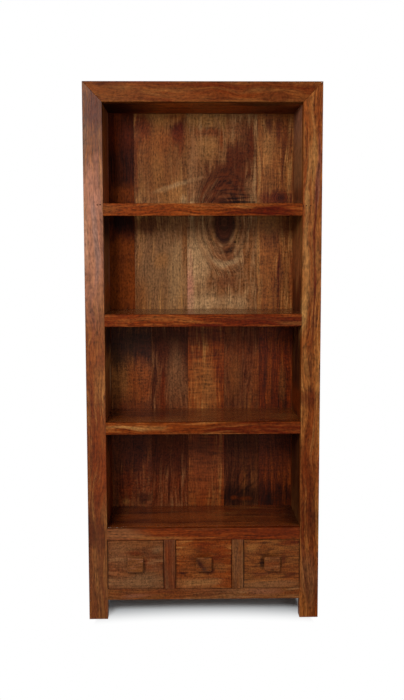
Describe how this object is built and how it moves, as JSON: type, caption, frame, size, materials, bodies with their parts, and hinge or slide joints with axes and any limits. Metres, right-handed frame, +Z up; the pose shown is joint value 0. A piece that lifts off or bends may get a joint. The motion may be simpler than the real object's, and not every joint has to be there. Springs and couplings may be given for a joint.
{
  "type": "bookcase with drawers",
  "caption": "Tall open bookcase in dark stained hardwood: a mitred front frame, open shelf compartments and a plank back, over a row of small dovetailed drawers with square knobs.",
  "frame": {"origin": "centre of the base of the whole bounding box, drawer knobs included, on the floor", "axes": "+Z up, -Y towards the front where the drawers open, +X to the right as seen from the front"},
  "size_m": [0.78, 0.336, 1.794],
  "materials": {
    "post_wood": "dark stain under satin lacquer",
    "rail_wood": "dark stain under satin lacquer",
    "board_wood": "dark stain under satin lacquer",
    "side_wood": "dark stain under satin lacquer",
    "back_wood": "dark stain under satin lacquer",
    "drawer_front_wood": "dark stain under satin lacquer",
    "drawer_box_wood": "planed, lightly stained",
    "knob_wood": "dark stain under satin lacquer"
  },
  "bodies": {
    "case": {"front_post_left": "post_wood", "front_post_right": "post_wood", "back_post_left": "post_wood", "back_post_right": "post_wood", "top_rail": "rail_wood", "drawer_rail": "rail_wood", "bottom_rail": "rail_wood", "shelf_edge_1": "rail_wood", "shelf_edge_2": "rail_wood", "shelf_edge_3": "rail_wood", "divider_left": "rail_wood", "divider_right": "rail_wood", "shelf_board_1": "board_wood", "shelf_board_2": "board_wood", "shelf_board_3": "board_wood", "deck_board": "board_wood", "bottom_board": "board_wood", "ceiling_board": "board_wood", "top_board": "board_wood", "side_lining_left": "side_wood", "side_lining_right": "side_wood", "side_panel_left": "side_wood", "side_panel_right": "side_wood", "side_rail_lower_left": "side_wood", "side_rail_lower_right": "side_wood", "side_rail_upper_left": "side_wood", "side_rail_upper_right": "side_wood", "back_rail_lower": "side_wood", "back_rail_upper": "side_wood", "back_plank_upper_1": "back_wood", "back_plank_upper_2": "back_wood", "back_plank_upper_3": "back_wood", "back_plank_upper_4": "back_wood", "back_plank_lower_1": "back_wood", "back_plank_lower_2": "back_wood", "back_plank_lower_3": "back_wood", "back_plank_lower_4": "back_wood", "back_plank_lower_5": "back_wood", "drawer_guide_left": "drawer_box_wood", "drawer_guide_right": "drawer_box_wood", "kicker_left": "drawer_box_wood", "kicker_right": "drawer_box_wood"},
    "drawer_left": {"drawer_left_front": "drawer_front_wood", "drawer_left_side_left": "drawer_box_wood", "drawer_left_side_right": "drawer_box_wood", "drawer_left_back": "drawer_box_wood", "drawer_left_bottom": "drawer_box_wood", "drawer_left_knob": "knob_wood"},
    "drawer_centre": {"drawer_centre_front": "drawer_front_wood", "drawer_centre_side_left": "drawer_box_wood", "drawer_centre_side_right": "drawer_box_wood", "drawer_centre_back": "drawer_box_wood", "drawer_centre_bottom": "drawer_box_wood", "drawer_centre_knob": "knob_wood"},
    "drawer_right": {"drawer_right_front": "drawer_front_wood", "drawer_right_side_left": "drawer_box_wood", "drawer_right_side_right": "drawer_box_wood", "drawer_right_back": "drawer_box_wood", "drawer_right_bottom": "drawer_box_wood", "drawer_right_knob": "knob_wood"}
  },
  "joints": [
    {"name": "drawer_left_slide", "type": "slide", "parent": "case", "child": "drawer_left", "axis": [0, -1, 0], "range_m": [0, 0.21]},
    {"name": "drawer_centre_slide", "type": "slide", "parent": "case", "child": "drawer_centre", "axis": [0, -1, 0], "range_m": [0, 0.21]},
    {"name": "drawer_right_slide", "type": "slide", "parent": "case", "child": "drawer_right", "axis": [0, -1, 0], "range_m": [0, 0.21]}
  ]
}
